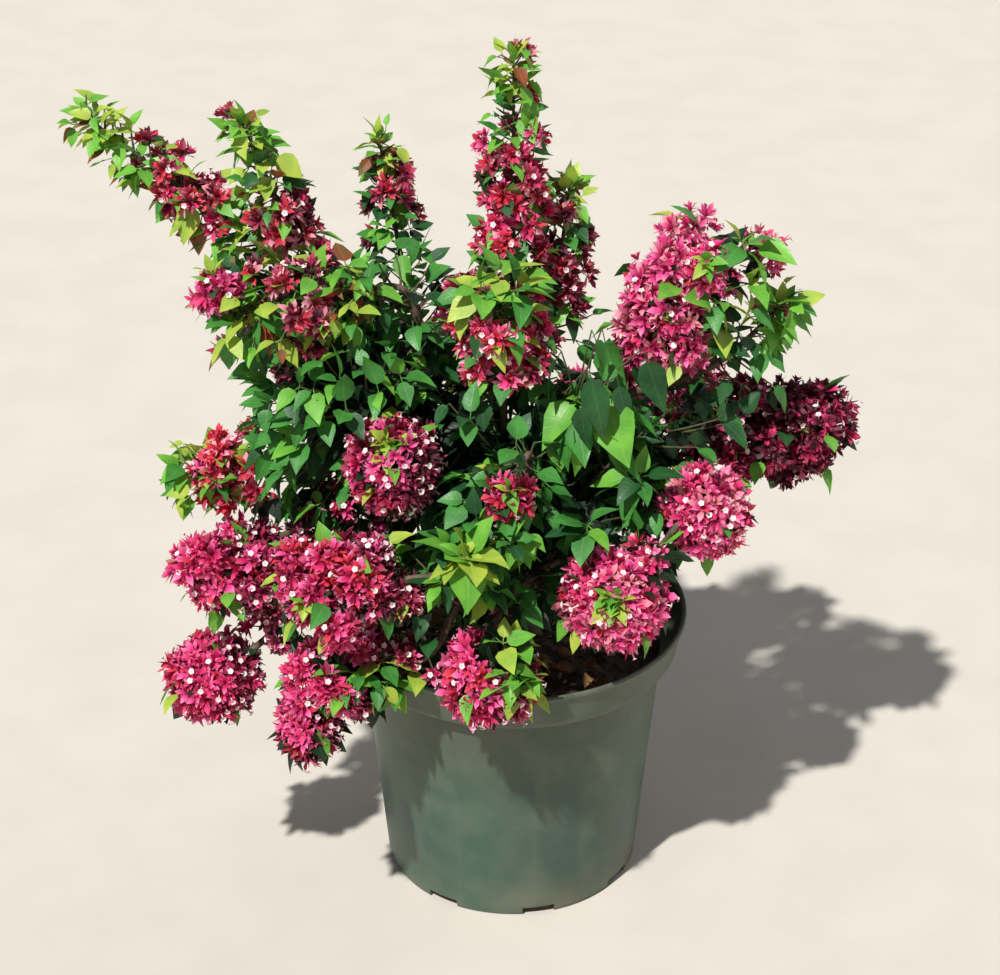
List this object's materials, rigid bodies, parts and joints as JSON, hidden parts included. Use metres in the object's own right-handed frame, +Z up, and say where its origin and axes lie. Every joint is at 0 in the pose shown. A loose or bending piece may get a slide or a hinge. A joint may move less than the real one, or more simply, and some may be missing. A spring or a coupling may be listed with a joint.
{
  "type": "potted bougainvillea bush",
  "caption": "Bushy bougainvillea with leafy spires and pom-pom clusters of magenta bracts, growing on a short forked trunk in a round nursery pot with a stepped rim.",
  "frame": {"origin": "middle of the pot's flat underside, where it stands on the floor", "axes": "+Z up; +X to the right and -Y towards the viewer, seen from the plant's front"},
  "size_m": [0.7313, 0.5254, 0.8386],
  "materials": {
    "pot_plastic": "matt grey-green moulded plastic, dusty and faintly scuffed",
    "potting_mix": "dark brown bark and peat mix with dry leaf bits on top",
    "bark": "grey-brown ridged bark, greener on young shoots",
    "leaves": "mid-green heart-shaped leaves, yellow-green and bronze when young",
    "bracts": "magenta papery bracts, crimson in the heart and paler at the tips",
    "flowers": "small cream-white flowers among the bracts"
  },
  "bodies": {
    "root": {"bough_back_left": "bark", "bough_back_low_left": "bark", "bough_back_low_right": "bark", "bough_back_middle": "bark", "bough_back_right": "bark", "bough_centre_cluster": "bark", "bough_centre_left": "bark", "bough_far_left_spire": "bark", "bough_front_left": "bark", "bough_front_right": "bark", "bough_front_rosettes": "bark", "bough_hanging_leaves": "bark", "bough_left_middle": "bark", "bough_left_shoulder": "bark", "bough_left_spire": "bark", "bough_left_tip": "bark", "bough_low_front_left": "bark", "bough_low_left": "bark", "bough_right_pompom": "bark", "bough_right_sprig": "bark", "bough_right_wing": "bark", "bough_rim_bloom": "bark", "bough_short_spire": "bark", "bough_tall_spire": "bark", "bough_thin_spire": "bark", "bough_trailing_pompom": "bark", "bough_upper_right": "bark", "mass_back_left": "bracts", "mass_back_low_left": "bracts", "mass_back_low_right": "bracts", "mass_back_middle": "bracts", "mass_back_right": "bracts", "mass_centre_cluster": "bracts", "mass_centre_left": "bracts", "mass_far_left_spire": "bracts", "mass_front_left": "bracts", "mass_front_right": "bracts", "mass_front_rosettes": "leaves", "mass_hanging_leaves": "leaves", "mass_inner_front": "leaves", "mass_inner_left": "leaves", "mass_inner_right": "leaves", "mass_left_middle": "bracts", "mass_left_shoulder": "bracts", "mass_left_spire": "bracts", "mass_left_tip": "bracts", "mass_low_front_left": "bracts", "mass_low_left": "bracts", "mass_right_pompom": "bracts", "mass_right_sprig": "leaves", "mass_right_wing": "bracts", "mass_rim_bloom": "bracts", "mass_short_spire": "bracts", "mass_tall_spire": "bracts", "mass_thin_spire": "bracts", "mass_trailing_pompom": "bracts", "mass_upper_right": "bracts", "pot": "pot_plastic", "potting_mix": "potting_mix", "trunk": "bark"}
  },
  "joints": []
}
